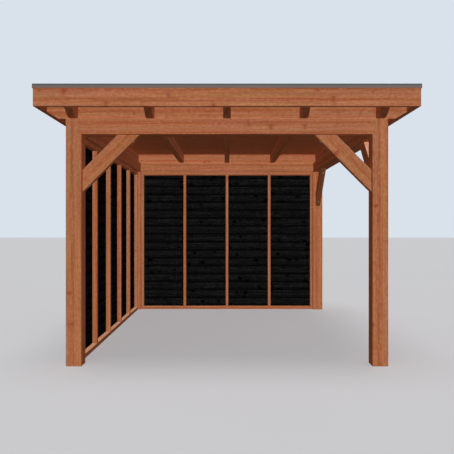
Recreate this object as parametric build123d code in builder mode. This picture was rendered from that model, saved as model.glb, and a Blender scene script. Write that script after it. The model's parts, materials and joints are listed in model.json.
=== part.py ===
# Timber carport with a flat roof, closed on the left and at the back.
# Millimetres, +X right, +Y to the back, +Z up, origin on the ground at the middle of the plan.
import os
from math import sqrt

from build123d import *

# Frame
frame_width = 2980  # across the outer faces of the posts
frame_depth = 3640  # across the outer faces of the posts
clear_height = 2145  # ground to the underside of the ring beams
post_side = 145
beam_height = 145
housing_depth = 25  # rebate in a post head that a beam end sits in

# Roof frame
rafter_bays = 4
rafter_width = 70
rafter_height = 130
slot_clearance = 0.5  # on each side of a rafter between the infill blocks
tail_bevel_run = 110
block_setback = 22  # beam face to the face of a block between two rafters

# Roof edge and covering
roof_overhang = 225  # ring beam face to fascia face
fascia_thickness = 45
fascia_height = 185
fascia_lift = 65  # rafter underside to the lower edge of the fascia
deck_thickness = 20
membrane_thickness = 2
membrane_lap = 40  # onto the top edge of the fascia
trim_sheet = 3
trim_standoff = 6  # fascia face to the outer face of the trim
trim_drop = 26  # how far the trim covers the fascia
trim_flange = 45
trim_rim_width = 14
trim_rim_height = 8

# Knee braces
brace_thickness = 70
brace_width = 145
brace_leg = 530  # corner to the far end of the long edge

# Wall panels
wall_setback = 45  # post inner face to the inner face of the studs
stud_width = 40
stud_depth = 52
plate_height = 45
cladding_thickness = 20
cladding_lift = 15  # clear of the ground
left_wall_bays = 5
back_wall_bays = 4

# Places that follow from the sizes above
half_width = frame_width / 2
half_depth = frame_depth / 2
inner_x = half_width - post_side
inner_y = half_depth - post_side
post_x = half_width - post_side / 2
post_y = half_depth - post_side / 2
head_side = post_side - housing_depth
beam_top = clear_height + beam_height
rafter_top = beam_top + rafter_height
rafter_pitch = 2 * post_x / rafter_bays
block_thickness = post_side - 2 * block_setback
deck_top = rafter_top + deck_thickness
fascia_bottom = beam_top + fascia_lift
fascia_top = fascia_bottom + fascia_height
roof_half_x = half_width + roof_overhang
roof_half_y = half_depth + roof_overhang
fascia_inner_x = roof_half_x - fascia_thickness
fascia_inner_y = roof_half_y - fascia_thickness

left_right = {"left": -1, "right": 1}
front_back = {"front": -1, "back": 1}

os.makedirs("parts", exist_ok=True)

# Posts, each with a smaller head that leaves a shoulder for the two beams
for end, y_sign in front_back.items():
    for side, x_sign in left_right.items():
        head_x = half_width - head_side / 2
        head_y = half_depth - head_side / 2
        with BuildPart() as post:
            with BuildSketch(Plane.XY):
                with Locations((x_sign * post_x, y_sign * post_y)):
                    Rectangle(post_side, post_side)
            extrude(amount=clear_height)
            with BuildSketch(Plane.XY.offset(clear_height)):
                with Locations((x_sign * head_x, y_sign * head_y)):
                    Rectangle(head_side, head_side)
            extrude(amount=beam_height)
        post.part.label = f"{end}_{side}_post"
        export_step(post.part, f"parts/{end}_{side}_post.step")

# Front and back beams, with a row of blocks on top that leaves a slot for each rafter
for end, y_start in {"front": -half_depth, "back": inner_y}.items():
    block_width = rafter_pitch - rafter_width - 2 * slot_clearance
    with BuildPart() as cross_beam:
        with BuildSketch(Plane.XZ.offset(-y_start)):
            with Locations((0, clear_height + beam_height / 2)):
                Rectangle(2 * (half_width - head_side), beam_height)
        extrude(amount=-post_side)
        with BuildSketch(Plane.XZ.offset(-y_start - block_setback)):
            with Locations((0, beam_top + rafter_height / 2)):
                with GridLocations(rafter_pitch, 0, rafter_bays, 1):
                    Rectangle(block_width, rafter_height)
        extrude(amount=-block_thickness)
    cross_beam.part.label = f"{end}_beam"
    export_step(cross_beam.part, f"parts/{end}_beam.step")

# Side beams, notched at the inner corners around the ends of the front and back beams
for side, x_sign in left_right.items():
    notch_x = inner_x + housing_depth / 2
    notch_y = inner_y + housing_depth / 2
    with BuildPart() as side_beam:
        with BuildSketch(Plane.XY.offset(clear_height)):
            with Locations((x_sign * post_x, 0)):
                Rectangle(post_side, 2 * (half_depth - head_side))
            with Locations((x_sign * notch_x, -notch_y), (x_sign * notch_x, notch_y)):
                Rectangle(housing_depth, housing_depth, mode=Mode.SUBTRACT)
        extrude(amount=beam_height)
    side_beam.part.label = f"{side}_beam"
    export_step(side_beam.part, f"parts/{side}_beam.step")

# Rafters, from fascia to fascia, with tails bevelled up to the lower edge of the fascia
for number in range(rafter_bays + 1):
    rafter_x = (number - rafter_bays / 2) * rafter_pitch
    with BuildPart() as rafter:
        with BuildSketch(Plane.YZ.offset(rafter_x)):
            with BuildLine():
                Polyline(
                    (-fascia_inner_y, rafter_top),
                    (-fascia_inner_y, fascia_bottom),
                    (tail_bevel_run - fascia_inner_y, beam_top),
                    (fascia_inner_y - tail_bevel_run, beam_top),
                    (fascia_inner_y, fascia_bottom),
                    (fascia_inner_y, rafter_top),
                    close=True,
                )
            make_face()
        extrude(amount=rafter_width / 2, both=True)
    rafter.part.label = f"rafter_{number + 1}"
    export_step(rafter.part, f"parts/rafter_{number + 1}.step")

# Lookouts, which carry on the line of the blocks to the side fascias
for end, y_start in {"front": -half_depth, "back": inner_y}.items():
    for side, x_sign in left_right.items():
        root_x = post_x + rafter_width / 2
        with BuildPart() as lookout:
            with BuildSketch(Plane.XZ.offset(-y_start - block_setback)):
                with BuildLine():
                    Polyline(
                        (x_sign * root_x, beam_top),
                        (x_sign * (fascia_inner_x - tail_bevel_run), beam_top),
                        (x_sign * fascia_inner_x, fascia_bottom),
                        (x_sign * fascia_inner_x, rafter_top),
                        (x_sign * root_x, rafter_top),
                        close=True,
                    )
                make_face()
            extrude(amount=-block_thickness)
        lookout.part.label = f"{end}_{side}_lookout"
        export_step(lookout.part, f"parts/{end}_{side}_lookout.step")

# Roof deck, inside the fascias
with BuildPart() as roof_deck:
    with BuildSketch(Plane.XY.offset(rafter_top)):
        Rectangle(2 * fascia_inner_x, 2 * fascia_inner_y)
    extrude(amount=deck_thickness)
roof_deck.part.label = "roof_deck"
export_step(roof_deck.part, "parts/roof_deck.step")

# Roof membrane, a tray turned up the fascias and lapped onto their top edges
with BuildPart() as roof_membrane:
    with BuildSketch(Plane.XY.offset(deck_top)):
        Rectangle(2 * fascia_inner_x, 2 * fascia_inner_y)
    extrude(amount=fascia_top - deck_top)
    with BuildSketch(Plane.XY.offset(fascia_top)):
        Rectangle(2 * (fascia_inner_x + membrane_lap), 2 * (fascia_inner_y + membrane_lap))
    extrude(amount=membrane_thickness)
    with BuildSketch(Plane.XY.offset(deck_top + membrane_thickness)):
        Rectangle(2 * (fascia_inner_x - membrane_thickness), 2 * (fascia_inner_y - membrane_thickness))
    extrude(amount=fascia_top - deck_top, mode=Mode.SUBTRACT)
roof_membrane.part.label = "roof_membrane"
export_step(roof_membrane.part, "parts/roof_membrane.step")


# One side of the roof edge: an outline of (distance outside the fascia face, height), mitred at both ends
def make_roof_edge(name, outward, along, reach, half_length, outline):
    with BuildPart() as edge:
        with BuildSketch(Plane(origin=(0, 0, 0), x_dir=outward, z_dir=along)):
            with BuildLine():
                Polyline(*[(reach + out, height) for out, height in outline], close=True)
            make_face()
        extrude(amount=half_length + trim_standoff, both=True)
        for direction in (along, -along):
            corner = outward * reach + direction * half_length
            split(bisect_by=Plane(origin=corner, z_dir=direction - outward), keep=Keep.BOTTOM)
    edge.part.label = name
    export_step(edge.part, f"parts/{name}.step")


fascia_outline = [
    (0, fascia_bottom),
    (0, fascia_top),
    (-fascia_thickness, fascia_top),
    (-fascia_thickness, fascia_bottom),
]

# The trim laps down over the fascia and lies on the membrane, with a raised rim along its outer edge
flange_bottom = fascia_top + membrane_thickness
flange_top = flange_bottom + trim_sheet
rim_top = flange_top + trim_rim_height
trim_outline = [
    (trim_standoff, rim_top),
    (trim_standoff, fascia_top - trim_drop),
    (trim_standoff - trim_sheet, fascia_top - trim_drop),
    (trim_standoff - trim_sheet, flange_bottom),
    (-trim_flange, flange_bottom),
    (-trim_flange, flange_top),
    (trim_standoff - trim_rim_width, flange_top),
    (trim_standoff - trim_rim_width + trim_rim_height, rim_top),
]

roof_edges = {
    "front": (Vector(0, -1, 0), Vector(-1, 0, 0), roof_half_y, roof_half_x),
    "back": (Vector(0, 1, 0), Vector(1, 0, 0), roof_half_y, roof_half_x),
    "left": (Vector(-1, 0, 0), Vector(0, 1, 0), roof_half_x, roof_half_y),
    "right": (Vector(1, 0, 0), Vector(0, -1, 0), roof_half_x, roof_half_y),
}
for side, (outward, along, reach, half_length) in roof_edges.items():
    make_roof_edge(f"{side}_fascia", outward, along, reach, half_length, fascia_outline)
    make_roof_edge(f"{side}_roof_trim", outward, along, reach, half_length, trim_outline)


# A knee brace at 45 degrees, from a post face at the corner up to the beam, drawn on an upright plane
def make_brace(name, plane, corner, direction):
    short_leg = brace_leg - brace_width * sqrt(2)
    with BuildPart() as brace:
        with BuildSketch(plane):
            with BuildLine():
                Polyline(
                    (corner, clear_height - brace_leg),
                    (corner, clear_height - short_leg),
                    (corner + direction * short_leg, clear_height),
                    (corner + direction * brace_leg, clear_height),
                    close=True,
                )
            make_face()
        extrude(amount=brace_thickness / 2, both=True)
    brace.part.label = name
    export_step(brace.part, f"parts/{name}.step")


front_plane = Plane.XZ.offset(post_y)
right_plane = Plane.YZ.offset(post_x)
make_brace("front_left_brace", front_plane, -inner_x, 1)
make_brace("front_right_brace", front_plane, inner_x, -1)
make_brace("right_front_brace", right_plane, -inner_y, 1)
make_brace("right_back_brace", right_plane, inner_y, -1)


# A wall panel on a ground plane with X along the wall and Y outwards, starting at the face of the studs
def make_wall(name, plane, length, bays):
    middle = stud_depth / 2
    with BuildPart() as bottom_plate:
        with BuildSketch(plane):
            with Locations((0, middle)):
                Rectangle(length, stud_depth)
        extrude(amount=plate_height)
    bottom_plate.part.label = f"{name}_bottom_plate"
    export_step(bottom_plate.part, f"parts/{name}_bottom_plate.step")

    with BuildPart() as top_plate:
        with BuildSketch(plane.offset(clear_height - plate_height)):
            with Locations((0, middle)):
                Rectangle(length, stud_depth)
        extrude(amount=plate_height)
    top_plate.part.label = f"{name}_top_plate"
    export_step(top_plate.part, f"parts/{name}_top_plate.step")

    with BuildPart() as studs:
        with BuildSketch(plane.offset(plate_height)):
            with Locations((0, middle)):
                with GridLocations((length - stud_width) / bays, 0, bays + 1, 1):
                    Rectangle(stud_width, stud_depth)
        extrude(amount=clear_height - 2 * plate_height)
    studs.part.label = f"{name}_studs"
    export_step(studs.part, f"parts/{name}_studs.step")

    with BuildPart() as cladding:
        with BuildSketch(plane.offset(cladding_lift)):
            with Locations((0, stud_depth + cladding_thickness / 2)):
                Rectangle(length, cladding_thickness)
        extrude(amount=clear_height - cladding_lift)
    cladding.part.label = f"{name}_cladding"
    export_step(cladding.part, f"parts/{name}_cladding.step")


left_wall_plane = Plane(origin=(-inner_x - wall_setback, 0, 0), x_dir=(0, 1, 0), z_dir=(0, 0, 1))
back_wall_plane = Plane(origin=(0, inner_y + wall_setback, 0), x_dir=(1, 0, 0), z_dir=(0, 0, 1))
make_wall("left_wall", left_wall_plane, 2 * inner_y, left_wall_bays)
make_wall("back_wall", back_wall_plane, 2 * inner_x, back_wall_bays)
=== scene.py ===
import json
import math
import random

import bmesh
import bpy
from mathutils import Euler, Matrix, Vector, noise

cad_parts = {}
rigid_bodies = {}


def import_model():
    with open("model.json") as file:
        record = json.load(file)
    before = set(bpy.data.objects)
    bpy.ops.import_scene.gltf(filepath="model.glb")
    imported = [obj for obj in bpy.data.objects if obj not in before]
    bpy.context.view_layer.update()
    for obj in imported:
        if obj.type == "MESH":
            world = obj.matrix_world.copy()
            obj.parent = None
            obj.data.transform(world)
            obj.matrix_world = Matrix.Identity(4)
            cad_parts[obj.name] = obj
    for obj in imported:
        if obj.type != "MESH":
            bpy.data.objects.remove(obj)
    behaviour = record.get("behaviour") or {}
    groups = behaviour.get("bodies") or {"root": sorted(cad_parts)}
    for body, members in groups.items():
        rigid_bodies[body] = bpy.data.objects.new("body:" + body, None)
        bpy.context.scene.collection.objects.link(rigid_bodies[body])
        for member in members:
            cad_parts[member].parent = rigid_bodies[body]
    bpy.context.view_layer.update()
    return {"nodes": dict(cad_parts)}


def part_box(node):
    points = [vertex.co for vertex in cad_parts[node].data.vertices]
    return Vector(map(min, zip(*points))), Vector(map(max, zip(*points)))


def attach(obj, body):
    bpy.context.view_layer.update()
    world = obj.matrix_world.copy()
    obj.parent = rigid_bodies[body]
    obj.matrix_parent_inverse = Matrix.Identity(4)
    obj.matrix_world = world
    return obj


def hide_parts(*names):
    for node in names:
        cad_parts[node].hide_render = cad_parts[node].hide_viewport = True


for spare in list(bpy.data.objects):  # an empty scene to start from
    bpy.data.objects.remove(spare)
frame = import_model()
cadNodes = frame["nodes"]
scene = bpy.context.scene
scene.view_settings.view_transform = "Standard"
print("frame loaded,", len(cadNodes), "nodes")


# small helpers for node trees
evenly = (1, 1, 1)  # a noise with no stretch
noiseCore = (0.3, 0.7)  # where most of a noise lies
seedReach = (0, 9)  # the range that seeds are drawn from


def put(tree, kind, sockets=None, **settings):
    made = tree.nodes.new(kind)
    for key, value in settings.items():
        setattr(made, key, value)
    for key, value in (sockets or {}).items():
        if isinstance(value, bpy.types.NodeSocket):
            tree.links.new(value, made.inputs[key])
        else:
            made.inputs[key].default_value = value
    return made


def calc(tree, operation, first, second=0.0):
    return put(tree, "ShaderNodeMath", {0: first, 1: second}, operation=operation).outputs[0]


def vectorCalc(tree, operation, first, second):
    return put(tree, "ShaderNodeVectorMath", {0: first, 1: second}, operation=operation).outputs[0]


def scaled(tree, vector, share):
    return put(tree, "ShaderNodeVectorMath", {0: vector, "Scale": share}, operation="SCALE").outputs[0]


def remap(tree, value, low, high, toLow=0.0, toHigh=1.0):
    sockets = {"Value": value, "From Min": low, "From Max": high, "To Min": toLow, "To Max": toHigh}
    return put(tree, "ShaderNodeMapRange", sockets, interpolation_type="SMOOTHSTEP").outputs[0]


def swing(tree, value, share):  # a noise value turned into plus and minus a share
    return calc(tree, "MULTIPLY", calc(tree, "SUBTRACT", value, 0.5), share)


def centred(tree, color):  # a noise colour turned into plus and minus a half
    return vectorCalc(tree, "SUBTRACT", color, (0.5, 0.5, 0.5))


def total(tree, values):
    made = values[0]
    for value in values[1:]:
        made = calc(tree, "ADD", made, value)
    return made


def blendColor(tree, amount, first, second, mode="MIX"):
    made = put(tree, "ShaderNodeMix", {0: amount, 6: first, 7: second}, data_type="RGBA", blend_type=mode)
    return made.outputs[2]


def noiseOn(tree, vector, stretch, scale, detail=2.0, roughness=0.5):
    stretched = vectorCalc(tree, "MULTIPLY", vector, stretch)
    sockets = {"Vector": stretched, "Scale": scale, "Detail": detail, "Roughness": roughness}
    return put(tree, "ShaderNodeTexNoise", sockets).outputs


def rampOn(tree, value, colors):  # colours spread evenly from 0 to 1
    made = put(tree, "ShaderNodeValToRGB", {"Fac": value})
    stops = made.color_ramp.elements
    stops[0].color, stops[1].color = colors[0], colors[-1]
    for index in range(1, len(colors) - 1):
        stops.new(index / (len(colors) - 1)).color = colors[index]
    return made.outputs["Color"]


def objectPlace(tree):
    return put(tree, "ShaderNodeTexCoord").outputs["Object"]


def heightOf(tree, vector):
    return put(tree, "ShaderNodeSeparateXYZ", {0: vector}).outputs["Z"]


def addBump(tree, shader, height, distance, strength):
    bump = put(tree, "ShaderNodeBump", {"Height": height, "Distance": distance, "Strength": strength})
    tree.links.new(bump.outputs[0], shader.inputs["Normal"])


def srgb(red, green, blue):
    def channel(value):
        share = value / 255
        return share / 12.92 if share <= 0.04045 else ((share + 0.055) / 1.055) ** 2.4
    return (channel(red), channel(green), channel(blue), 1.0)


def newGroup(name, inputs, outputs):
    tree = bpy.data.node_groups.new(name, "ShaderNodeTree")
    for label, kind, value in inputs:
        socket = tree.interface.new_socket(label, in_out="INPUT", socket_type=kind)
        if value is not None:
            socket.default_value = value
    for label, kind in outputs:
        tree.interface.new_socket(label, in_out="OUTPUT", socket_type=kind)
    return tree, put(tree, "NodeGroupInput").outputs, put(tree, "NodeGroupOutput").inputs


def newMaterial(name):
    made = bpy.data.materials.new(name)
    made.use_nodes = True
    tree = made.node_tree
    shader = next(found for found in tree.nodes if found.type == "BSDF_PRINCIPLED")
    return made, tree, shader


# wood grain: X of the vector runs along the grain, in metres
grainSizes = {
    "bandPitch": 0.090,
    "bandDrift": 0.35,  # share of a pitch that the bands wander
    "bandEdge": (-0.95, 0.1),
    "ringPitch": 0.006,
    "lateWood": (0.35, 0.92),
    "ringEnd": (0.94, 1.0),
    "knotLeast": 0.3,
    "knotEdge": (0.55, 1.05),
    "haloEdge": (0.8, 2.3),
    "ragged": 60.0,
    "raggedReach": 0.03,
    "bend": (0.0, 0.020, 0.020),
    "swerve": (0.0, 0.006, 0.006),  # round a knot
    "hueLean": (0.75, 0.75, 1.25),
    "seedStep": (17.3, 5.7, 9.1),
    # waves per metre, along and across the grain
    "wander": (0.7, 2.5, 2.5),
    "drift": (0.4, 9.0, 9.0),
    "line": (1.4, 62.0, 62.0),
    "fleck": (34.0, 66.0, 66.0),
    "thread": (2.0, 84.0, 84.0),
    "hue": (0.6, 95.0, 95.0),
    "fibre": (9.0, 460.0, 460.0),
    # how threads, and dust with painted sheen on up-facing faces, show in a finish
    "threadFleck": 0.7,
    "paleThread": (0.50, 0.78),
    "darkThread": (0.50, 0.22),
    "dustAndSheenTilt": (0.35, 0.95),
    "dustAndSheenPatches": (0.2, 0.6, 0.5, 1.0),
    "bumpStrength": 0.6,
}


def buildGrainGroup():
    sizes = grainSizes
    tree, given, result = newGroup(
        "woodGrain",
        [
            ("Vector", "NodeSocketVector", None),
            ("Seed", "NodeSocketFloat", None),
            ("Band Pitch", "NodeSocketFloat", sizes["bandPitch"]),
            ("Band Shift", "NodeSocketFloat", None),
            ("Ring Pitch", "NodeSocketFloat", sizes["ringPitch"]),
            ("Knot Size", "NodeSocketFloat", None),
            ("Knot Cells", "NodeSocketFloat", None),
            ("Knot Squeeze", "NodeSocketFloat", None),
        ],
        [
            ("Band", "NodeSocketFloat"),
            ("Line", "NodeSocketFloat"),
            ("Fleck", "NodeSocketFloat"),
            ("Thread", "NodeSocketFloat"),
            ("Tint", "NodeSocketColor"),
            ("Ring", "NodeSocketFloat"),
            ("Fibre", "NodeSocketFloat"),
            ("Knot", "NodeSocketFloat"),
            ("Halo", "NodeSocketFloat"),
        ],
    )
    seedStep = scaled(tree, sizes["seedStep"], given["Seed"])
    place = vectorCalc(tree, "ADD", given["Vector"], seedStep)

    # knots are ragged balls scattered through the timber, no two of one size
    squeeze = put(tree, "ShaderNodeCombineXYZ", {"X": given["Knot Squeeze"], "Y": 1.0, "Z": 1.0}).outputs[0]
    squeezed = vectorCalc(tree, "MULTIPLY", place, squeeze)
    ragged = noiseOn(tree, place, evenly, sizes["ragged"])["Color"]
    rough = scaled(tree, centred(tree, ragged), sizes["raggedReach"])
    scatter = put(tree, "ShaderNodeTexVoronoi", {
        "Vector": vectorCalc(tree, "ADD", squeezed, rough),
        "Scale": given["Knot Cells"],
        "Randomness": 1.0,
    }).outputs
    ownSize = calc(tree, "ADD", sizes["knotLeast"], scatter["Color"])
    knotRadius = calc(tree, "MULTIPLY", given["Knot Size"], ownSize)
    fromKnot = calc(tree, "DIVIDE", scatter["Distance"], given["Knot Cells"])
    knotGap = calc(tree, "DIVIDE", fromKnot, knotRadius)
    knot = remap(tree, knotGap, *sizes["knotEdge"], 1.0, 0.0)
    halo = remap(tree, knotGap, *sizes["haloEdge"], 1.0, 0.0)

    # slow wander of the grain, which also bends round the knots
    wander = noiseOn(tree, place, sizes["wander"], 1.0, 1.5)["Color"]
    bent = vectorCalc(tree, "MULTIPLY", centred(tree, wander), sizes["bend"])
    swerve = scaled(tree, sizes["swerve"], halo)
    flow = vectorCalc(tree, "ADD", vectorCalc(tree, "ADD", given["Vector"], bent), swerve)
    flowSeeded = vectorCalc(tree, "ADD", flow, seedStep)
    across = put(tree, "ShaderNodeSeparateXYZ", {0: flow}).outputs

    def grainNoise(key, detail, roughness=0.5):
        return noiseOn(tree, flowSeeded, sizes[key], 1.0, detail, roughness)

    # broad bands that run the whole length: a narrow red one, then a wide tan one
    sideways = calc(tree, "ADD", across["Y"], across["Z"])
    bands = calc(tree, "DIVIDE", sideways, given["Band Pitch"])
    drift = swing(tree, grainNoise("drift", 1.0)["Fac"], sizes["bandDrift"])
    bandPhase = total(tree, [bands, given["Band Shift"], drift])
    wave = calc(tree, "COSINE", calc(tree, "MULTIPLY", bandPhase, 2 * math.pi))
    band = remap(tree, wave, *sizes["bandEdge"])

    # growth rings about a pith
    pithGap = calc(tree, "SQRT", calc(tree, "ADD",
                                      calc(tree, "POWER", across["Y"], 2.0),
                                      calc(tree, "POWER", across["Z"], 2.0)))
    phase = calc(tree, "FRACT", calc(tree, "DIVIDE", pithGap, given["Ring Pitch"]))
    late = remap(tree, phase, *sizes["lateWood"])
    ring = calc(tree, "MULTIPLY", late, remap(tree, phase, *sizes["ringEnd"], 1.0, 0.0))

    # each thread leans a little to another hue
    lean = vectorCalc(tree, "MULTIPLY", centred(tree, grainNoise("hue", 1.0)["Color"]), sizes["hueLean"])

    made = {
        "Band": band,
        "Line": grainNoise("line", 2.0, 0.6)["Fac"],
        "Fleck": grainNoise("fleck", 1.0)["Fac"],
        "Thread": grainNoise("thread", 1.5)["Fac"],
        "Tint": vectorCalc(tree, "ADD", lean, (1.0, 1.0, 1.0)),
        "Fibre": grainNoise("fibre", 2.0)["Fac"],
        "Ring": ring,
        "Knot": knot,
        "Halo": halo,
    }
    for label, socket in made.items():
        tree.links.new(socket, result[label])
    return tree


grainGroup = buildGrainGroup()

# a share and a colour for each thing that the grain adds to its tones
stainLook = {
    "tones": [srgb(147, 76, 43), srgb(157, 89, 54), srgb(162, 98, 63),
              srgb(165, 106, 71), srgb(172, 116, 82)],
    "tone": 0.27,  # middle of the red bands, from the darkest tone to the palest
    "band": 0.44,
    "line": 0.62,
    "fleck": 0.55,
    "tint": 1.0,
    "paleThread": (0.34, srgb(196, 138, 104)),
    "darkThread": (0.34, srgb(126, 64, 34)),
    "ring": (0.16, srgb(142, 74, 42)),
    "fibre": (0.14, srgb(158, 90, 56)),
    "halo": (0.30, srgb(146, 78, 46)),
    "knot": (0.62, srgb(136, 60, 32)),
    "dust": (0.30, srgb(212, 184, 156)),  # dust and painted sheen from the sky, paler on faces that look up
    "knotSize": 0.030,
    "knotCells": 5.0,
    "knotSqueeze": 1.5,
    "roughness": (0.55, 0.72),
    "bump": 0.0010,
    "specular": 0.10,
}


def grainColors(tree, grain, look):
    changes = total(tree, [
        calc(tree, "MULTIPLY", grain["Band"], look["band"]),
        swing(tree, grain["Line"], look["line"]),
        swing(tree, grain["Fleck"], look["fleck"]),
    ])
    tone = rampOn(tree, calc(tree, "ADD", changes, look["tone"]), look["tones"])
    color = blendColor(tree, look["tint"], tone, grain["Tint"], "MULTIPLY")
    thread = calc(tree, "ADD", grain["Thread"], swing(tree, grain["Fleck"], grainSizes["threadFleck"]))
    masks = {
        "paleThread": remap(tree, thread, *grainSizes["paleThread"]),
        "darkThread": remap(tree, thread, *grainSizes["darkThread"]),
        "ring": grain["Ring"],
        "fibre": grain["Fibre"],
        "halo": grain["Halo"],
        "knot": grain["Knot"],
    }
    for key, mask in masks.items():
        share, stain = look[key]
        color = blendColor(tree, calc(tree, "MULTIPLY", mask, share), color, stain)
    return color


def dustAndSheenMask(tree, grain):
    up = heightOf(tree, put(tree, "ShaderNodeNewGeometry").outputs["Normal"])
    settled = remap(tree, up, *grainSizes["dustAndSheenTilt"])
    return calc(tree, "MULTIPLY", settled, remap(tree, grain["Fleck"], *grainSizes["dustAndSheenPatches"]))


def grainFinish(tree, shader, vector, seed, look, shade=None):
    grain = put(tree, "ShaderNodeGroup", {
        "Vector": vector,
        "Seed": seed,
        "Knot Size": look["knotSize"],
        "Knot Cells": look["knotCells"],
        "Knot Squeeze": look["knotSqueeze"],
    }, node_tree=grainGroup)
    made = grain.outputs
    color = grainColors(tree, made, look)
    # dust and painted sheen: a pale tone on faces that look up
    if "dust" in look:
        share, stain = look["dust"]
        color = blendColor(tree, calc(tree, "MULTIPLY", dustAndSheenMask(tree, made), share), color, stain)
    if shade:  # painted shade: darker in the joints and under the laps
        share, stain = look["joint"]
        color = blendColor(tree, calc(tree, "MULTIPLY", shade, share), color, stain)
    tree.links.new(color, shader.inputs["Base Color"])
    tree.links.new(remap(tree, made["Fibre"], *noiseCore, *look["roughness"]), shader.inputs["Roughness"])
    relief = calc(tree, "SUBTRACT", calc(tree, "ADD", made["Fibre"], made["Ring"]), made["Knot"])
    addBump(tree, shader, relief, look["bump"], grainSizes["bumpStrength"])
    shader.inputs["Specular IOR Level"].default_value = look["specular"]
    return grain


# rotations that turn a piece's grain onto X
grainTurns = {
    "x": (0, 0, 0),
    "y": (0, 0, -90),
    "z": (0, 90, 0),
    "front_left_brace": (0, 45, 0),
    "front_right_brace": (0, 135, 0),
    "right_front_brace": (-45, 0, -90),
    "right_back_brace": (-135, 0, -90),
}


def turnAngles(turn):
    return Euler([math.radians(angle) for angle in grainTurns[turn]])


def turnedPlace(tree, turn, place=(0, 0, 0)):
    sockets = {"Vector": objectPlace(tree), "Location": place, "Rotation": turnAngles(turn)}
    return put(tree, "ShaderNodeMapping", sockets).outputs[0]


# timber that keeps its CAD shape
timber = {
    "ease": 0.0025,
    "pithReach": (0.03, 0.12),
    "withoutDustAndSheen": "back_wall_bottom_plate",  # no dust or painted sheen shows on it
    # where a red band crosses the front face of the main pieces
    "redBands": {
        "front_fascia": ("z", 2.504),
        "front_beam": ("z", 2.253),
        "back_beam": ("z", 2.251),
        "front_left_post": ("x", -1.427),
        "front_right_post": ("x", 1.408),
    },
    # the strip of the front beam between the rafters has bands of its own
    "strip": {"piece": "front_beam", "foot": 2.290, "setback": 0.022, "red": 2.369},
    # pieces by the way their grain runs
    "pieces": {
        "z": ["front_left_post", "front_right_post", "back_left_post", "back_right_post",
              "left_wall_studs", "back_wall_studs"],
        "x": ["front_beam", "back_beam", "front_fascia", "back_fascia",
              "front_left_lookout", "front_right_lookout", "back_left_lookout", "back_right_lookout",
              "back_wall_bottom_plate", "back_wall_top_plate"],
        "y": ["left_beam", "right_beam", "left_fascia", "right_fascia",
              "rafter_1", "rafter_2", "rafter_3", "rafter_4", "rafter_5",
              "left_wall_bottom_plate", "left_wall_top_plate"],
        "front_left_brace": ["front_left_brace"],
        "front_right_brace": ["front_right_brace"],
        "right_front_brace": ["right_front_brace"],
        "right_back_brace": ["right_back_brace"],
    },
}


def timberMaterial(name, turn, box, seed, look):
    made, tree, shader = newMaterial(f"stain_{name}")
    drawn = random.Random(seed)
    centre = (box[0] + box[1]) / 2
    pith = Vector((0, drawn.uniform(*timber["pithReach"]), drawn.uniform(*timber["pithReach"])))
    turned = turnAngles(turn).to_matrix()
    vector = turnedPlace(tree, turn, pith - turned @ centre)
    grain = grainFinish(tree, shader, vector, drawn.uniform(*seedReach), look)

    def shiftTo(red):  # puts the middle of a red band on a point
        inGrain = turned @ (red - centre) + pith
        return 0.5 - (inGrain.y + inGrain.z) / grainSizes["bandPitch"]

    bandShift = drawn.uniform(0, 1)
    if name in timber["redBands"]:
        axis, place = timber["redBands"][name]
        red = Vector((centre.x, box[0].y, centre.z))
        setattr(red, axis, place)
        bandShift = shiftTo(red)
    grain.inputs["Band Shift"].default_value = bandShift
    strip = timber["strip"]
    if name == strip["piece"]:
        stripShift = shiftTo(Vector((centre.x, box[0].y + strip["setback"], strip["red"])))
        inStrip = calc(tree, "GREATER_THAN", heightOf(tree, objectPlace(tree)), strip["foot"])
        step = calc(tree, "MULTIPLY", inStrip, stripShift - bandShift)
        tree.links.new(calc(tree, "ADD", step, bandShift), grain.inputs["Band Shift"])
    return made


# soft arrises on the straight CAD edges
arrises = {"weld": 0.00005, "flatAngle": 1, "sharpAngle": 30, "segments": 2}


def easeEdges(piece, width):
    weld = piece.modifiers.new("weld", "WELD")
    weld.merge_threshold = arrises["weld"]
    flat = piece.modifiers.new("flat", "DECIMATE")
    flat.decimate_type = "DISSOLVE"
    flat.angle_limit = math.radians(arrises["flatAngle"])
    ease = piece.modifiers.new("ease", "BEVEL")
    ease.width = width
    ease.segments = arrises["segments"]
    ease.limit_method = "ANGLE"
    ease.angle_limit = math.radians(arrises["sharpAngle"])
    ease.harden_normals = True


def dress(piece, material):
    piece.data.materials.clear()
    piece.data.materials.append(material)


def dressTimber():
    # the same look without its dust and painted sheen
    lookWithoutDustAndSheen = {key: value for key, value in stainLook.items() if key != "dust"}
    seed = 0
    for turn, names in timber["pieces"].items():
        for name in names:
            seed += 1
            look = lookWithoutDustAndSheen if name == timber["withoutDustAndSheen"] else stainLook
            dress(cadNodes[name], timberMaterial(name, turn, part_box(name), seed, look))
            easeEdges(cadNodes[name], timber["ease"])
    print("timber dressed,", seed, "pieces")


dressTimber()


# meshes made from a profile pushed along a length, or turned about an axis

def pushProfile(shape, outline, start, end, toWorld):
    rows = [[shape.verts.new(toWorld(along, out, up)) for out, up in outline] for along in (start, end)]
    made = [shape.faces.new(rows[0]), shape.faces.new(list(reversed(rows[1])))]
    for index in range(len(outline)):
        after = (index + 1) % len(outline)
        made.append(shape.faces.new([rows[0][after], rows[0][index], rows[1][index], rows[1][after]]))
    return made


def turnProfile(shape, profile, sides, point, normal, twist=0.0):
    place = Matrix.Translation(point) @ normal.to_track_quat("Z", "Y").to_matrix().to_4x4()
    angles = [twist + 2 * math.pi * step / sides for step in range(sides)]
    rings = []
    for radius, height in profile:
        points = [Vector((radius * math.cos(angle), radius * math.sin(angle), height)) for angle in angles]
        rings.append([shape.verts.new(place @ corner) for corner in points])
    for lower, upper in zip(rings, rings[1:]):
        for step in range(sides):
            after = (step + 1) % sides
            shape.faces.new([lower[step], lower[after], upper[after], upper[step]])
    shape.faces.new(list(reversed(rings[0])))
    shape.faces.new(rings[-1])


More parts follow.
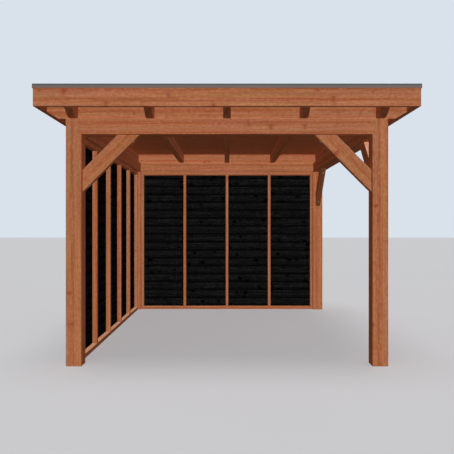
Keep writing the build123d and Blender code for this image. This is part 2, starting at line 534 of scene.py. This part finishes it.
def meshPiece(name, shape, materials):
    bmesh.ops.recalc_face_normals(shape, faces=shape.faces)
    data = bpy.data.meshes.new(name)
    shape.to_mesh(data)
    shape.free()
    for material in materials:
        data.materials.append(material)
    piece = bpy.data.objects.new(name, data)
    scene.collection.objects.link(piece)
    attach(piece, "root")
    return piece


# black boards, rebated so that each one hangs over the one below
boards = {
    "cover": 0.1253,
    "lap": 0.021,
    "lapRoom": 0.001,  # play between a board and the one that it hangs over
    "topThick": 0.009,
    "arris": 0.0015,
    "gap": 0.006,
    "endCut": 0.0006,  # most that an end is cut short
    # rounded lower edge indoors: depth, height above the joint, share of its painted shade
    "easing": [(0.0, 0.064, 0.0), (0.0, 0.046, 0.16), (0.0, 0.030, 0.42),
               (0.0010, 0.018, 0.62), (0.0037, 0.008, 0.72), (0.0088, 0.0, 0.72)],
    # shares of painted shade in the joint and on a board's lower edge
    "jointShade": 0.72,
    "footShade": 0.6,
    "lapShade": 0.018,  # height of the painted shadow under the board above, outdoors
    "outerSides": range(5),  # sides of the outline that face outdoors
    "screwHeight": 0.040,  # above a board's lower edge
    "studWidth": 0.040,
    "inside": {
        "tones": [srgb(8, 8, 8), srgb(14, 14, 14), srgb(18, 18, 18), srgb(21, 21, 21), srgb(30, 30, 30)],
        "tone": 0.44,
        "band": 0.10,
        "line": 1.70,
        "fleck": 1.40,
        "tint": 0.10,
        # painted shade in the joints
        "joint": (0.85, srgb(2, 2, 2)),
        "paleThread": (0.70, srgb(38, 38, 38)),
        "darkThread": (0.50, srgb(6, 6, 6)),
        "ring": (0.12, srgb(8, 8, 8)),
        "fibre": (0.10, srgb(10, 10, 10)),
        "halo": (0.30, srgb(8, 8, 8)),
        "knot": (0.95, srgb(1, 1, 1)),
        "knotSize": 0.030,
        "knotCells": 8.0,
        "knotSqueeze": 0.8,
        "roughness": (0.60, 0.80),
        "bump": 0.0012,
        "specular": 0.0,
    },
}
# outdoors the same black stain is drawn paler, as painted daylight
boards["outside"] = dict(
    boards["inside"],
    tones=[srgb(15, 15, 15), srgb(25, 25, 25), srgb(31, 31, 32), srgb(36, 36, 37), srgb(48, 48, 49)],
    line=0.90,
    fleck=0.60,
    darkThread=(0.25, srgb(14, 14, 14)),
    paleThread=(0.30, srgb(52, 52, 53)),
    knot=(0.55, srgb(12, 12, 12)),
    # painted shadow under each lap
    joint=(0.95, srgb(2, 2, 2)),
    specular=0.06,
    roughness=(0.50, 0.66),
)
leftLow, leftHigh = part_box("left_wall_cladding")
backLow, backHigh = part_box("back_wall_cladding")


def leftWall(along, out, up):
    return Vector((leftHigh.x - out, along, up))


def backWall(along, out, up):
    return Vector((along, backLow.y + out, up))


walls = {
    "left": {
        "node": "left_wall_cladding",
        "boards": "left_wall_boards",
        "screws": "left_wall_screws",
        "studs": "left_wall_studs",
        "studAxis": 1,
        "studBays": 5,
        "toWorld": leftWall,
        "turn": "y",
        "ends": (leftLow.y, leftHigh.y),
        "heights": (leftLow.z, leftHigh.z),
        "thick": leftHigh.x - leftLow.x,
    },
    "back": {
        "node": "back_wall_cladding",
        "boards": "back_wall_boards",
        "screws": "back_wall_screws",
        "studs": "back_wall_studs",
        "studAxis": 0,
        "studBays": 4,
        "toWorld": backWall,
        "turn": "x",
        "ends": (backLow.x, backHigh.x),
        "heights": (backLow.z, backHigh.z),
        "thick": backHigh.y - backLow.y,
    },
}


def boardMaterial(name, turn, look):
    made, tree, shader = newMaterial(name)
    own = put(tree, "ShaderNodeAttribute", attribute_name="boardSeed").outputs["Fac"]
    shade = None
    # the painted shade of the joints and laps comes from a value on each point
    if "joint" in look:
        shade = put(tree, "ShaderNodeAttribute", attribute_name="jointShade").outputs["Fac"]
    grainFinish(tree, shader, turnedPlace(tree, turn), own, look, shade)
    return made


def wallCourses(wall):  # how many boards, what each one covers, and how its face leans
    low, high = wall["heights"]
    count = round((high - low) / boards["cover"])
    cover = (high - low) / count
    return count, cover, (wall["thick"] - boards["topThick"]) / (cover + boards["lap"])


def boardPoints(foot, cover, slope, wall):  # depth from the inside, height and painted shade
    lap, arris, topThick, thick = boards["lap"], boards["arris"], boards["topThick"], wall["thick"]
    head = min(foot + cover + lap, wall["heights"][1])
    joint = foot + lap + boards["gap"]
    shadeFoot = cover - boards["lapShade"]
    points = [
        (topThick + boards["lapRoom"], foot, boards["jointShade"]),
        (thick - arris, foot, boards["footShade"]),
        (thick, foot + arris, 0.0),
        # outdoors, a painted shadow darkens the face up to the board above
        (thick - slope * shadeFoot, foot + shadeFoot, 0.0),
        (thick - slope * (cover - arris), foot + cover - arris, 1.0),
        (topThick, head, 1.0),
        (arris, head, 0.0),
        (0, head - arris, 0.0),
    ]
    points += [(depth, joint + rise, shade) for depth, rise, shade in boards["easing"]]
    points.append((topThick + boards["lapRoom"], joint, boards["jointShade"]))
    return points


def boardWall(wall):
    count, cover, slope = wallCourses(wall)
    shape = bmesh.new()
    ownSeed = shape.faces.layers.float.new("boardSeed")
    ownShade = shape.verts.layers.float.new("jointShade")
    node = wall["node"]
    drawn = random.Random(node)
    start, end = wall["ends"]
    for index in range(count):
        short = abs(drawn.uniform(-boards["endCut"], boards["endCut"]))
        points = boardPoints(wall["heights"][0] + index * cover, cover, slope, wall)
        outline = [(out, up) for out, up, shade in points]
        shades = [shade for out, up, shade in points]
        made = pushProfile(shape, outline, start + short, end - short, wall["toWorld"])
        seed = drawn.uniform(*seedReach)
        for face in made:
            face[ownSeed] = seed
        shape.verts.ensure_lookup_table()
        for vert, shade in zip(shape.verts[-2 * len(points):], 2 * shades):
            vert[ownShade] = shade
        for outer in boards["outerSides"]:
            made[2 + outer].material_index = 1  # the two ends come first
    turn = wall["turn"]
    faces = [boardMaterial(f"black_{look}_{turn}", turn, boards[look]) for look in ("inside", "outside")]
    piece = meshPiece(wall["boards"], shape, faces)
    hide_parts(node)


for wall in walls.values():
    boardWall(wall)
print("walls boarded")


# roof boards, laid across the rafters with a fine V on the underside
roofBoards = {
    "cover": 0.125,
    "vee": 0.0025,
    "gap": 0.0004,
    "look": dict(stainLook, band=0.16, tone=0.42, line=0.60, fleck=0.40),
}


def makeRoofBoards():
    low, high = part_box("roof_deck")
    count = round((high.y - low.y) / roofBoards["cover"])
    cover = (high.y - low.y) / count
    vee, gap = roofBoards["vee"], roofBoards["gap"]
    shape = bmesh.new()
    ownSeed = shape.faces.layers.float.new("boardSeed")
    drawn = random.Random("roof boards")
    for index in range(count):
        near = low.y + index * cover + gap
        far = near + cover - 2 * gap
        outline = [
            (near, low.z + vee), (near + vee, low.z), (far - vee, low.z),
            (far, low.z + vee), (far, high.z), (near, high.z),
        ]
        seed = drawn.uniform(*seedReach)
        for face in pushProfile(shape, outline, low.x, high.x, lambda along, out, up: (along, out, up)):
            face[ownSeed] = seed
    stain = boardMaterial("stain_roof_boards", "x", roofBoards["look"])
    piece = meshPiece("roof_boards", shape, [stain])
    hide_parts("roof_deck")


makeRoofBoards()
print("roof boarded")


# rubber roof sheet: a shallow tray with a cove at its foot, turned over the fascias, with a taped seam
roofSheet = {
    "cell": 0.05,
    "lineRoom": 0.012,  # least room between a seam's line and the grid's
    "thick": 0.002,
    "bodyShare": 0.9,  # of its thickness, so that it stays off the deck
    "cove": 0.024,
    "coveSteps": 6,
    "roll": 0.004,  # where it turns over the top of the fascia
    "rollSteps": 4,
    "seamPlace": 0.42,
    "seamWidth": 0.12,
    "seamLift": 0.0016,
    "seamEdge": 0.0015,
    "ripple": 0.0016,
    "rippleWaves": [(1.7, 3.1, 1.0), (5.0, 8.4, 0.5)],  # waves per metre, seed and share
    "rippleLeast": -0.8,
    "rippleEnd": 0.15,  # the ripples die out towards the upstand
    "fold": 0.10,  # reach of a folded corner along the upstand
    "foldStart": 0.02,
    "foldTip": 0.9,
    "foldDrop": 0.012,
    "foldPly": 1.2,  # two thin plies, in thicknesses of the sheet
    "dry": srgb(33, 34, 36),
    "worn": srgb(44, 45, 46),
    "dust": srgb(74, 73, 70),
    # scale, detail and roughness of each noise
    "patches": (0.9, 4.0, 0.55),
    "grit": (240.0, 2.0),
    "tide": (2.3, 5.0, 0.6),
    "wornEdge": (0.40, 0.68),
    "dustEdge": (0.52, 0.72),
    "dustShare": 0.45,
    "roughness": (0.66, 0.84),
    "bump": (0.0004, 0.5),
    "specular": 0.10,
}


def sheetMaterial():
    made, tree, shader = newMaterial("roof_sheet")
    where = objectPlace(tree)
    patches = noiseOn(tree, where, evenly, *roofSheet["patches"])["Fac"]
    grit = noiseOn(tree, where, evenly, *roofSheet["grit"])["Fac"]
    tide = noiseOn(tree, where, evenly, *roofSheet["tide"])["Fac"]
    tone = blendColor(tree, remap(tree, patches, *roofSheet["wornEdge"]), roofSheet["dry"], roofSheet["worn"])
    gritty = calc(tree, "MULTIPLY", grit, roofSheet["dustShare"])
    dusty = calc(tree, "MULTIPLY", remap(tree, tide, *roofSheet["dustEdge"]), gritty)
    tree.links.new(blendColor(tree, dusty, tone, roofSheet["dust"]), shader.inputs["Base Color"])
    tree.links.new(remap(tree, patches, *noiseCore, *roofSheet["roughness"]), shader.inputs["Roughness"])
    addBump(tree, shader, grit, *roofSheet["bump"])
    shader.inputs["Specular IOR Level"].default_value = roofSheet["specular"]
    return made


def gridLines(reach, extra=()):
    count = round(2 * reach / roofSheet["cell"])
    lines = [-reach + 2 * reach * step / count for step in range(count + 1)]
    kept = [line for line in lines if all(abs(line - other) > roofSheet["lineRoom"] for other in extra)]
    return sorted(kept + list(extra))


def quarterTurn(steps):
    return [math.pi / 2 * step / steps for step in range(steps + 1)]


def rippleAt(x, y):
    waves = [share * noise.noise(Vector((x * wave, y * wave, seed)))
             for wave, seed, share in roofSheet["rippleWaves"]]
    return roofSheet["ripple"] * max(sum(waves), roofSheet["rippleLeast"])


def sheetFlat(shape, flatX, flatY, floorZ):
    seamLow = roofSheet["seamPlace"] - roofSheet["seamWidth"] / 2
    seamHigh = roofSheet["seamPlace"] + roofSheet["seamWidth"] / 2
    seamEdge = roofSheet["seamEdge"]

    def height(x, y):
        room = min(flatX - abs(x), flatY - abs(y)) / roofSheet["rippleEnd"]
        taped = roofSheet["seamLift"] if seamLow <= x <= seamHigh else 0.0
        return floorZ + taped + rippleAt(x, y) * max(0.0, min(1.0, room))

    columns = gridLines(flatX, (seamLow - seamEdge, seamLow, seamHigh, seamHigh + seamEdge))
    flat = [[shape.verts.new((x, y, height(x, y))) for x in columns] for y in gridLines(flatY)]
    for lower, upper in zip(flat, flat[1:]):
        for step in range(len(columns) - 1):
            shape.faces.new([lower[step], lower[step + 1], upper[step + 1], upper[step]])
    return flat


def sheetRise(shape, flat, rise, floorZ, rollFoot):
    # once round the flat part, with the way out at each point
    rim = [(vert, (0, -1)) for vert in flat[0]]
    rim += [(row[-1], (1, 0)) for row in flat[1:-1]]
    rim += [(vert, (0, 1)) for vert in reversed(flat[-1])]
    rim += [(row[0], (-1, 0)) for row in reversed(flat[1:-1])]
    corners = {flat[0][0]: (-1, -1), flat[0][-1]: (1, -1), flat[-1][-1]: (1, 1), flat[-1][0]: (-1, 1)}
    ways = [corners.get(vert, way) for vert, way in rim]
    feet = [vert.co.copy() for vert, way in rim]
    ring = [vert for vert, way in rim]
    for reach, upper in rise:
        above = []
        for foot, (wayX, wayY) in zip(feet, ways):
            lift = foot.z - floorZ if upper < rollFoot else 0.0  # the cove follows the seam
            above.append(shape.verts.new((foot.x + wayX * reach, foot.y + wayY * reach, upper + lift)))
        for step in range(len(ring)):
            after = (step + 1) % len(ring)
            shape.faces.new([ring[step], ring[after], above[after], above[step]])
        ring = above


def makeRoofSheet(rubber):
    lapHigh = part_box("roof_membrane")[1]
    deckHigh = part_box("roof_deck")[1]
    cove, thick, roll = roofSheet["cove"], roofSheet["thick"], roofSheet["roll"]
    floorZ = deckHigh.z + thick
    rollFoot = lapHigh.z - roll
    flatX, flatY = deckHigh.x - thick - cove, deckHigh.y - thick - cove
    # outward reach from the flat part, and height
    rise = [(cove * math.sin(turn), floorZ + cove * (1 - math.cos(turn)))
            for turn in quarterTurn(roofSheet["coveSteps"])[1:]]
    rise += [(cove + roll * (1 - math.cos(turn)), rollFoot + roll * math.sin(turn))
             for turn in quarterTurn(roofSheet["rollSteps"])]
    rise.append((lapHigh.x - flatX, lapHigh.z))
    shape = bmesh.new()
    flat = sheetFlat(shape, flatX, flatY, floorZ)
    sheetRise(shape, flat, rise, floorZ, rollFoot)
    piece = meshPiece("roof_sheet", shape, [rubber])
    for face in piece.data.polygons:
        face.use_smooth = True
    body = piece.modifiers.new("body", "SOLIDIFY")
    body.thickness = roofSheet["bodyShare"] * thick
    body.offset = -1.0
    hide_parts("roof_membrane")


# the spare rubber at each corner is folded flat against the long upstand
def makeSheetFolds(rubber):
    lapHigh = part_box("roof_membrane")[1]
    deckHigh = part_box("roof_deck")[1]
    thick = roofSheet["thick"]
    wallX = deckHigh.x - thick
    footZ, topZ = deckHigh.z + thick + roofSheet["cove"], lapHigh.z - roofSheet["roll"]
    shape = bmesh.new()
    for wayX in (-1, 1):
        for wayY in (-1, 1):
            corner = wayY * (deckHigh.y - thick)
            back = wayY * roofSheet["fold"]
            near = corner - roofSheet["foldStart"] * back
            tip = corner - roofSheet["foldTip"] * back
            tipZ = topZ - roofSheet["foldDrop"]
            outline = [(near, footZ), (near, topZ), (corner - back, topZ), (tip, tipZ)]
            pushProfile(shape, outline, wallX, wallX - roofSheet["foldPly"] * thick,
                        lambda along, out, up: (wayX * along, out, up))
    meshPiece("roof_sheet_folds", shape, [rubber])


rubberSheet = sheetMaterial()
makeRoofSheet(rubberSheet)
makeSheetFolds(rubberSheet)
print("roof sheet laid")


# grey roof trim with a darker brim along its top
trim = {
    "brimDepth": 0.016,
    "brimBlur": 0.003,
    "brimColor": srgb(82, 86, 82),
    "faceDark": srgb(110, 95, 91),
    "facePale": srgb(117, 101, 97),
    "speck": srgb(92, 83, 80),
    "speckShare": 0.2,
    "speckNoise": (900.0, 2.0),
    "cloudNoise": (2.5, 3.0),
    "roughness": (0.42, 0.55),
    "bump": (0.0002, 0.4),
    "specular": 0.10,
    "arris": 0.0008,
    "sheet": 0.003,
    "screwPitch": 0.30,
    "screwInset": 0.030,
}


def trimMaterial():
    made, tree, shader = newMaterial("trim_grey")
    where = objectPlace(tree)
    speck = noiseOn(tree, where, evenly, *trim["speckNoise"])["Fac"]
    cloud = noiseOn(tree, where, evenly, *trim["cloudNoise"])["Fac"]
    face = blendColor(tree, remap(tree, cloud, *noiseCore), trim["faceDark"], trim["facePale"])
    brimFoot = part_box("front_roof_trim")[1].z - trim["brimDepth"]
    brim = remap(tree, heightOf(tree, where), brimFoot - trim["brimBlur"], brimFoot + trim["brimBlur"])
    tone = blendColor(tree, brim, face, trim["brimColor"])
    specked = blendColor(tree, calc(tree, "MULTIPLY", speck, trim["speckShare"]), tone, trim["speck"])
    tree.links.new(specked, shader.inputs["Base Color"])
    tree.links.new(remap(tree, speck, *noiseCore, *trim["roughness"]), shader.inputs["Roughness"])
    addBump(tree, shader, speck, *trim["bump"])
    shader.inputs["Specular IOR Level"].default_value = trim["specular"]
    return made


greyTrim = trimMaterial()
for side in ("front", "back", "left", "right"):
    dress(cadNodes[f"{side}_roof_trim"], greyTrim)
    easeEdges(cadNodes[f"{side}_roof_trim"], trim["arris"])
print("roof trimmed")


# fasteners: plate head screws in the braces, small screws through the boards and the trim
fasteners = {
    "braceWays": {  # from the post towards the open side
        "front_left_brace": (1, 0),
        "front_right_brace": (-1, 0),
        "right_front_brace": (0, 1),
        "right_back_brace": (0, -1),
    },
    "fromEnd": 0.060,
    # radius and height of each ring
    "plateHead": [(0.0110, -0.0006), (0.0112, 0.0006), (0.0100, 0.0015), (0.0062, 0.0021),
                  (0.0046, 0.0021), (0.0038, 0.0004)],
    "plateSides": 24,
    "screw": [(0.0042, -0.0006), (0.0042, 0.0004), (0.0032, 0.0012), (0.0014, 0.0015)],
    "screwSides": 10,
    "strayAlong": 0.004,
    "strayUp": 0.003,
    "spangle": (420.0, 3.0),
    "spangleEdge": (0.35, 0.65),
    "zinc": {"tones": (srgb(160, 149, 138), srgb(188, 176, 164)), "metallic": 0.3, "roughness": (0.45, 0.60)},
    "black": {"tones": (srgb(26, 26, 27), srgb(44, 44, 45)), "metallic": 0.5, "roughness": (0.40, 0.55)},
}


def metalMaterial(name, finish):
    made, tree, shader = newMaterial(name)
    spangle = noiseOn(tree, objectPlace(tree), evenly, *fasteners["spangle"])["Fac"]
    mask = remap(tree, spangle, *fasteners["spangleEdge"])
    tree.links.new(blendColor(tree, mask, *finish["tones"]), shader.inputs["Base Color"])
    tree.links.new(remap(tree, spangle, *noiseCore, *finish["roughness"]), shader.inputs["Roughness"])
    shader.inputs["Metallic"].default_value = finish["metallic"]
    return made


def makeBraceScrews(material):
    shape = bmesh.new()
    drawn = random.Random("brace screws")
    upright = Vector((0, 0, 1))
    for name, (wayX, wayY) in fasteners["braceWays"].items():
        low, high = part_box(name)
        way = Vector((wayX, wayY, 0))
        middle = (low + high) / 2
        leg = high.z - low.z
        foot = Vector((middle.x, middle.y, low.z)) - way * leg / 2
        normal = (way - upright).normalized()
        for step in (fasteners["fromEnd"], leg - fasteners["fromEnd"]):
            point = foot + (way + upright) * step
            twist = drawn.uniform(0, 1)
            turnProfile(shape, fasteners["plateHead"], fasteners["plateSides"], point, normal, twist)
    meshPiece("brace_screws", shape, [material])


def studLines(wall):
    low, high = (corner[wall["studAxis"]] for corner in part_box(wall["studs"]))
    first, last = low + boards["studWidth"] / 2, high - boards["studWidth"] / 2
    bays = wall["studBays"]
    return [first + (last - first) * step / bays for step in range(bays + 1)]


def makeBoardScrews(wall, material):
    shape = bmesh.new()
    drawn = random.Random(wall["screws"])
    lines = studLines(wall)
    count, cover, slope = wallCourses(wall)
    toWorld, up = wall["toWorld"], boards["screwHeight"]
    normal = (toWorld(0, 1, slope) - toWorld(0, 0, 0)).normalized()
    depth = wall["thick"] - slope * up
    strayAlong, strayUp = fasteners["strayAlong"], fasteners["strayUp"]
    for index in range(count):
        course = wall["heights"][0] + index * cover + up
        for line in lines:
            along = line + drawn.uniform(-strayAlong, strayAlong)
            point = toWorld(along, depth, course + drawn.uniform(-strayUp, strayUp))
            turnProfile(shape, fasteners["screw"], fasteners["screwSides"], point, normal)
    meshPiece(wall["screws"], shape, [material])


def makeTrimScrews(material):
    shape = bmesh.new()
    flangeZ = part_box("roof_membrane")[1].z + trim["sheet"]
    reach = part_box("right_roof_trim")[1] - Vector((trim["screwInset"], trim["screwInset"], 0))
    for span, place in ((reach.y, lambda along, side: (side * reach.x, along, flangeZ)),
                        (reach.x, lambda along, side: (along, side * reach.y, flangeZ))):
        count = round(2 * span / trim["screwPitch"])
        for side in (-1, 1):
            for step in range(1, count):
                point = Vector(place(-span + 2 * span * step / count, side))
                turnProfile(shape, fasteners["screw"], fasteners["screwSides"], point, Vector((0, 0, 1)))
    meshPiece("trim_screws", shape, [material])


zincSteel = metalMaterial("zinc_steel", fasteners["zinc"])
blackSteel = metalMaterial("black_steel", fasteners["black"])
makeBraceScrews(zincSteel)
makeTrimScrews(zincSteel)
for wall in walls.values():
    makeBoardScrews(wall, blackSteel)
print("fasteners set")


# stage: floor, sky, lamps and camera
stage = {
    "floorSize": 120.0,
    "floorDrop": 0.001,
    "floorColor": srgb(198, 198, 200),
    "floorShade": 0.96,  # darkest share of its colour
    "floorCloud": (0.6, 3.0),
    "floorRoughness": 0.9,
    "floorSpecular": 0.1,
    "sky": srgb(217, 226, 235),
    "skyLight": 0.10,
    "ground": srgb(42, 41, 40),  # what undersides mirror
    "horizon": (0.02, -0.04),
    "warm": (1.0, 0.74, 0.66),
    "white": (1.0, 1.0, 1.0),
}
# share of full light, azimuth, elevation, spread, shadows or not, what it reaches, colour
lamps = {
    "front_lamp": (1.125, 0, 37, 10, False, "all", stage["white"]),
    "top_lamp": (0.28, 0, 88, 30, True, "all", stage["white"]),
    "sky_fill": (0.40, 0, 90, 10, False, "part", stage["white"]),
    "back_lamp": (0.75, 165, 25, 15, True, "part", stage["white"]),
    "left_lamp": (0.75, -105, 25, 15, True, "part", stage["white"]),
    "right_lamp": (0.75, 100, 25, 15, True, "right side", stage["white"]),
    "right_fill": (0.21, 90, 5, 20, False, "part", stage["warm"]),
    "left_fill": (0.14, -90, 5, 20, False, "part", stage["warm"]),
    "under_fill": (0.115, 0, -88, 20, False, "part", stage["warm"]),
}
view = {
    "eye": (0, -6.8815, 1.288),
    "fieldOfView": 45,
    "sensor": 36.0,
    "farthest": 500,
}


def floorMaterial():
    made, tree, shader = newMaterial("floor_plain")
    cloud = noiseOn(tree, objectPlace(tree), evenly, *stage["floorCloud"])["Fac"]
    pale = stage["floorColor"]
    shaded = [share * stage["floorShade"] for share in pale[:3]] + [1.0]
    tree.links.new(blendColor(tree, cloud, pale, shaded), shader.inputs["Base Color"])
    shader.inputs["Roughness"].default_value = stage["floorRoughness"]
    shader.inputs["Specular IOR Level"].default_value = stage["floorSpecular"]
    return made


def makeFloor():
    half = stage["floorSize"] / 2
    corners = [(-half, -half, 0), (half, -half, 0), (half, half, 0), (-half, half, 0)]
    data = bpy.data.meshes.new("floor")
    data.from_pydata(corners, [], [(0, 1, 2, 3)])
    data.materials.append(floorMaterial())
    floor = bpy.data.objects.new("floor", data)
    floor.location.z = -stage["floorDrop"]
    floor.visible_shadow = False
    floor.visible_diffuse = False  # no glow from below on the undersides
    floor.visible_glossy = False
    scene.collection.objects.link(floor)
    return floor


def makeSky():
    world = bpy.data.worlds.new("sky")
    world.use_nodes = True
    tree = world.node_tree
    tree.nodes.clear()
    rays = put(tree, "ShaderNodeLightPath").outputs
    seen = calc(tree, "MAXIMUM", rays["Is Camera Ray"], rays["Is Glossy Ray"])
    seen = calc(tree, "MAXIMUM", seen, rays["Is Transmission Ray"])
    up = heightOf(tree, put(tree, "ShaderNodeTexCoord").outputs["Generated"])
    below = calc(tree, "MULTIPLY", rays["Is Glossy Ray"], remap(tree, up, *stage["horizon"]))
    glow = put(tree, "ShaderNodeBackground", {"Color": (*stage["white"], 1.0), "Strength": stage["skyLight"]})
    mirrored = blendColor(tree, below, stage["sky"], stage["ground"])
    backdrop = put(tree, "ShaderNodeBackground", {"Color": mirrored, "Strength": 1.0})
    mixed = put(tree, "ShaderNodeMixShader", {0: seen, 1: glow.outputs[0], 2: backdrop.outputs[0]})
    out = put(tree, "ShaderNodeOutputWorld")
    tree.links.new(mixed.outputs[0], out.inputs["Surface"])
    scene.world = world


def makeReceivers(floor):
    part = bpy.data.collections.new("part")  # everything but the floor
    part.objects.link(floor)
    part.collection_objects[0].light_linking.link_state = "EXCLUDE"
    rightSide = bpy.data.collections.new("right_side")  # only the pieces along the open side
    for name, piece in cadNodes.items():
        if "right" in name.split("_"):
            rightSide.objects.link(piece)
    return {"all": None, "part": part, "right side": rightSide}


def makeLamps(floor):
    receivers = makeReceivers(floor)
    for name, (share, azimuth, elevation, spread, shadows, reaches, color) in lamps.items():
        data = bpy.data.lights.new(name, "SUN")
        data.energy = share * math.pi
        data.angle = math.radians(spread)
        data.use_shadow = shadows
        data.color = color
        lamp = bpy.data.objects.new(name, data)
        turn, lift = math.radians(azimuth), math.radians(elevation)
        towards = Vector((math.sin(turn) * math.cos(lift), -math.cos(turn) * math.cos(lift), math.sin(lift)))
        lamp.rotation_euler = towards.to_track_quat("Z", "Y").to_euler()
        if receivers[reaches]:
            lamp.light_linking.receiver_collection = receivers[reaches]
        scene.collection.objects.link(lamp)


def makeCamera():
    data = bpy.data.cameras.new("camera")
    data.sensor_width = view["sensor"]
    data.lens = view["sensor"] / 2 / math.tan(math.radians(view["fieldOfView"] / 2))
    data.clip_end = view["farthest"]
    camera = bpy.data.objects.new("camera", data)
    camera.location = view["eye"]
    camera.rotation_euler = (math.radians(90), 0, 0)
    scene.collection.objects.link(camera)
    scene.camera = camera


makeLamps(makeFloor())
makeSky()
makeCamera()
print("stage set")
